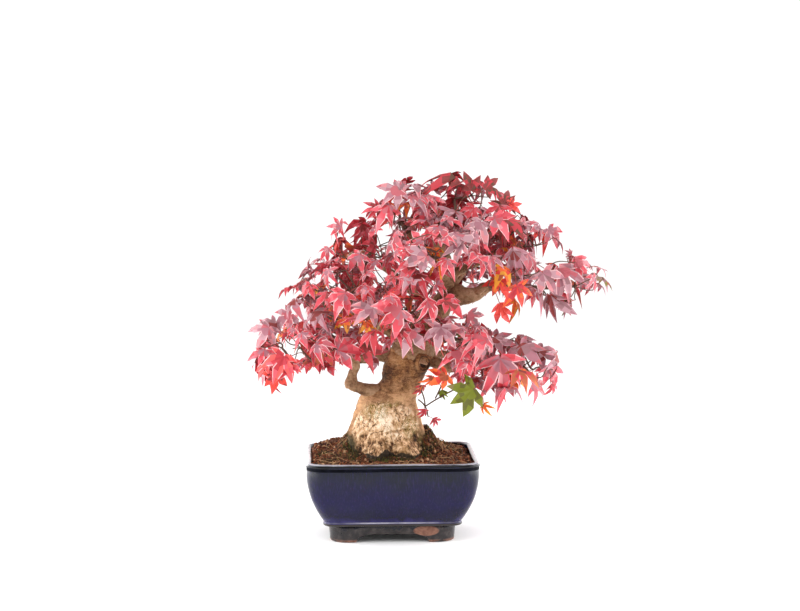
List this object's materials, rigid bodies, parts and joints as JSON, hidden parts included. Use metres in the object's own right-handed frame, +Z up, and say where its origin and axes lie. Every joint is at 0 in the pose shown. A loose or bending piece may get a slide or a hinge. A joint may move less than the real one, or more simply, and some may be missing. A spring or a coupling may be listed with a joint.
{
  "type": "bonsai maple tree",
  "caption": "Small potted maple with a thick gnarled trunk, layered pads of red lobed leaves, and a dark glazed rectangular pot on corner feet.",
  "frame": {"origin": "on the ground under the middle of the crown's box, which lies 37.5 mm right of and 5 mm behind the pot's middle", "axes": "+Z up along the plant's height, +Y to the back of the pot, +X to the viewer's right of the front"},
  "size_m": [0.357, 0.252, 0.369],
  "materials": {
    "glaze": "gloss",
    "soil": "matte",
    "bark": "matte",
    "twig_bark": "matte",
    "red_leaf": "satin",
    "orange_leaf": "satin"
  },
  "bodies": {
    "root": {"pot": "glaze", "soil": "soil", "trunk": "bark", "leader": "bark", "knee_bough": "bark", "low_left_bough": "bark", "left_riser": "twig_bark", "left_shoulder": "bark", "mid_left_bough": "bark", "upper_left_bough": "twig_bark", "front_bough": "bark", "low_right_bough": "bark", "front_right_bough": "bark", "back_right_bough": "bark", "back_bough": "bark", "back_left_bough": "bark", "high_back_right_bough": "bark", "top_left_bough": "twig_bark", "top_right_bough": "twig_bark", "high_front_bough": "twig_bark", "high_back_bough": "twig_bark", "orange_bough": "twig_bark", "low_left_leaves": "red_leaf", "shoulder_leaves": "red_leaf", "mid_left_leaves": "red_leaf", "upper_left_leaves": "red_leaf", "front_leaves": "red_leaf", "low_right_leaves": "red_leaf", "front_right_leaves": "red_leaf", "back_right_leaves": "red_leaf", "back_leaves": "red_leaf", "back_left_leaves": "red_leaf", "high_back_right_leaves": "red_leaf", "top_left_leaves": "red_leaf", "top_leaves": "red_leaf", "top_right_leaves": "red_leaf", "high_front_leaves": "red_leaf", "high_back_leaves": "red_leaf", "orange_leaves": "orange_leaf", "far_right_leaves": "red_leaf"}
  },
  "joints": []
}
